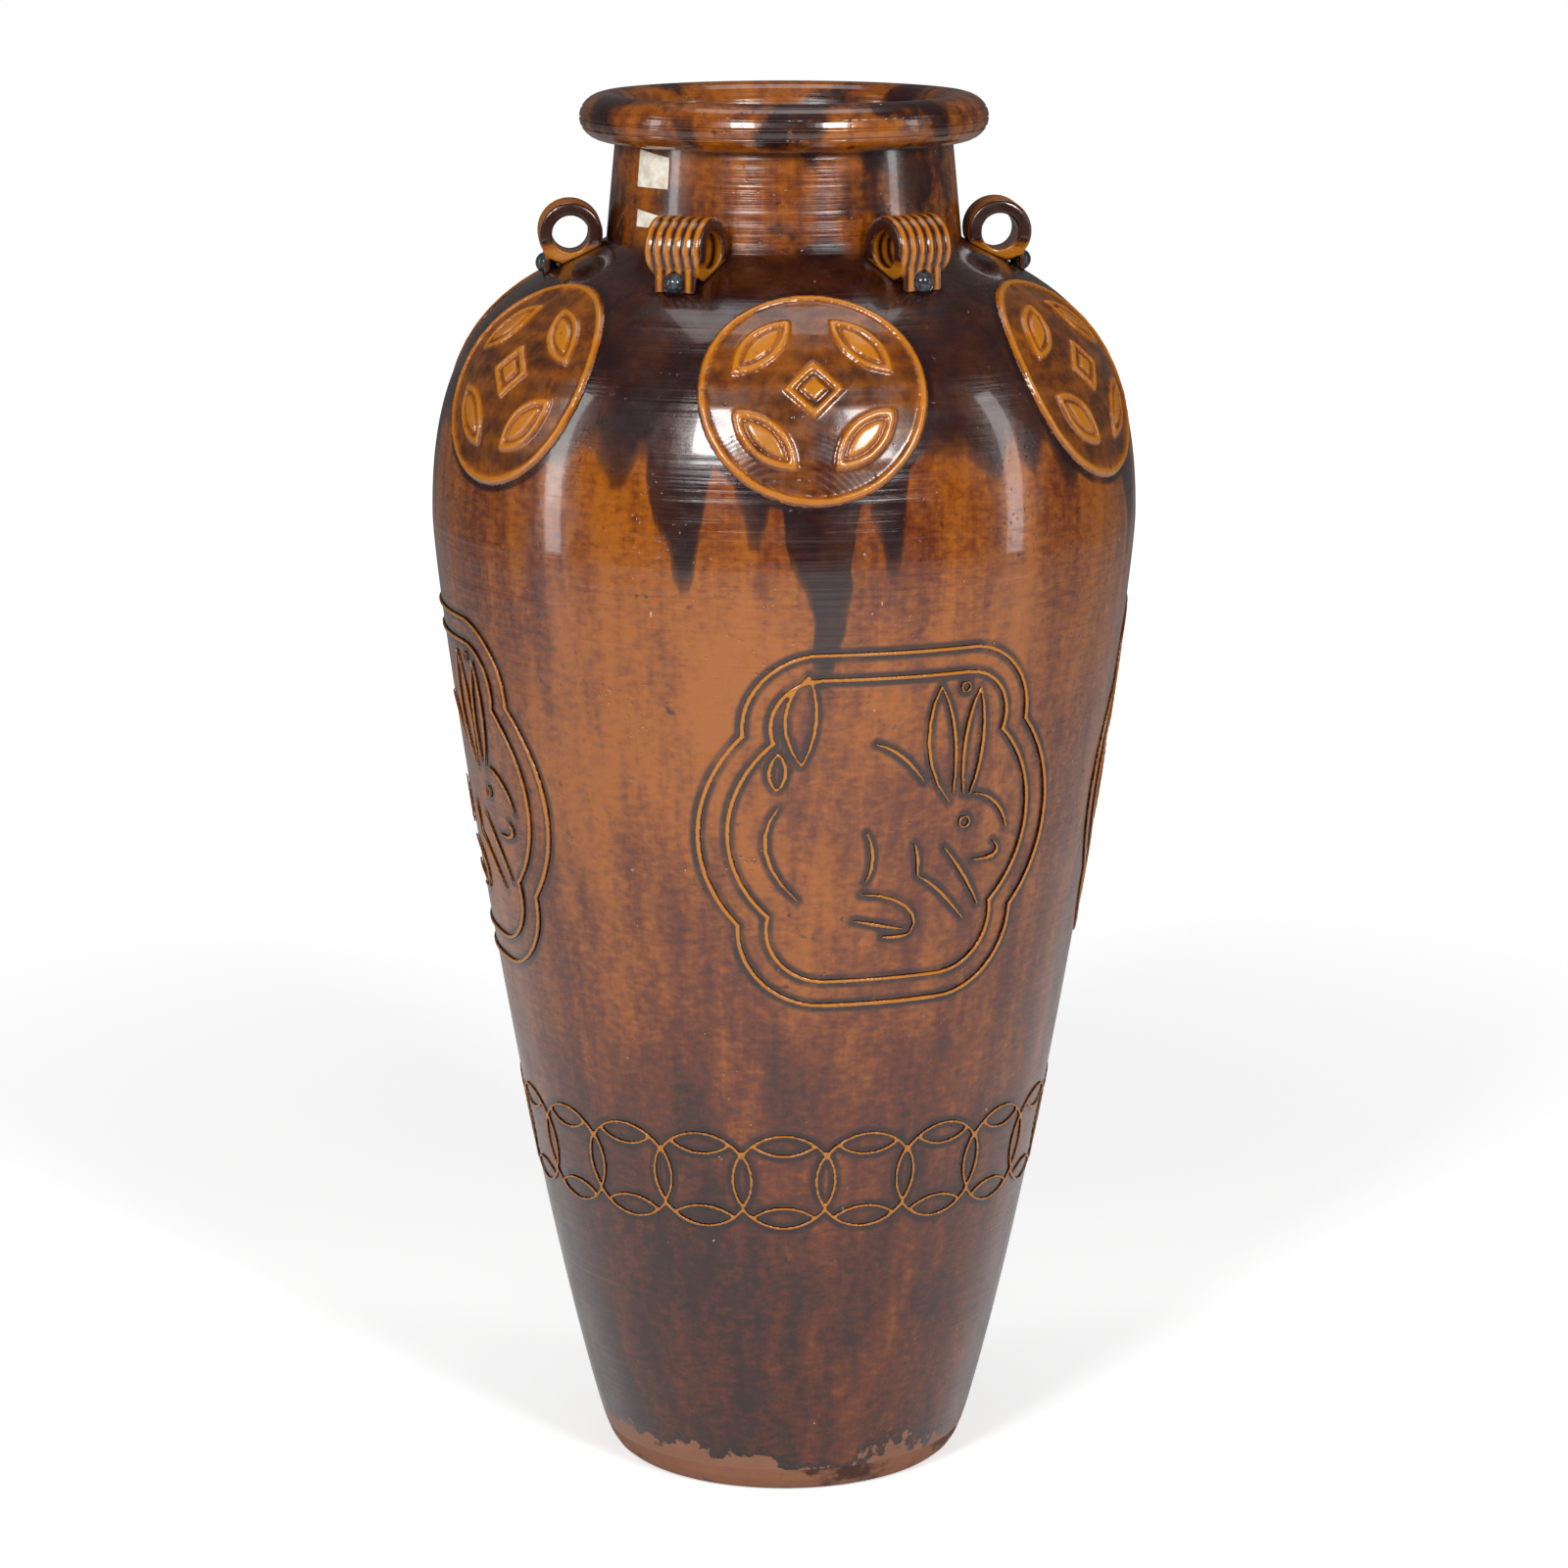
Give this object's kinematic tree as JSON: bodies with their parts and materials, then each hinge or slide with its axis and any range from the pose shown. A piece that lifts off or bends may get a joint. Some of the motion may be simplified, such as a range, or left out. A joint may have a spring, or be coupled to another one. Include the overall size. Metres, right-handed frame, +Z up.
{
  "type": "storage jar",
  "caption": "Tall high-shouldered stoneware storage jar with rolled rim, short neck, combed strap lugs and moulded relief, in dark over amber glaze.",
  "frame": {"origin": "middle of the flat underside", "axes": "+Z up along the jar's axis, -Y the side shown in front, +X to the right of that side"},
  "size_m": [0.425, 0.4256, 0.84],
  "materials": {
    "body_glaze": "glossy amber brown glaze",
    "dark_glaze": "glossy dark brown glaze",
    "amber_glaze": "glossy thin amber glaze",
    "dark_pellet_glaze": "glossy grey black glaze",
    "bare_stoneware": "bare fired stoneware"
  },
  "bodies": {
    "root": {"base_slab": "bare_stoneware", "foot_wall": "body_glaze", "body_wall": "body_glaze", "belly_wall": "body_glaze", "shoulder_wall": "dark_glaze", "neck_wall": "body_glaze", "rim_roll": "body_glaze", "lug_front_left": "amber_glaze", "lug_front_right": "amber_glaze", "lug_right": "amber_glaze", "lug_back_right": "amber_glaze", "lug_back_left": "amber_glaze", "lug_left": "amber_glaze", "pellet_front_left": "dark_pellet_glaze", "pellet_front_right": "dark_pellet_glaze", "pellet_right": "dark_pellet_glaze", "pellet_back_right": "dark_pellet_glaze", "pellet_back_left": "dark_pellet_glaze", "pellet_left": "dark_pellet_glaze", "roundel_front": "amber_glaze", "roundel_front_right": "amber_glaze", "roundel_back_right": "amber_glaze", "roundel_back": "amber_glaze", "roundel_back_left": "amber_glaze", "roundel_front_left": "amber_glaze", "panel_front": "amber_glaze", "panel_right": "amber_glaze", "panel_back": "amber_glaze", "panel_left": "amber_glaze", "coin_band": "amber_glaze"}
  },
  "joints": []
}
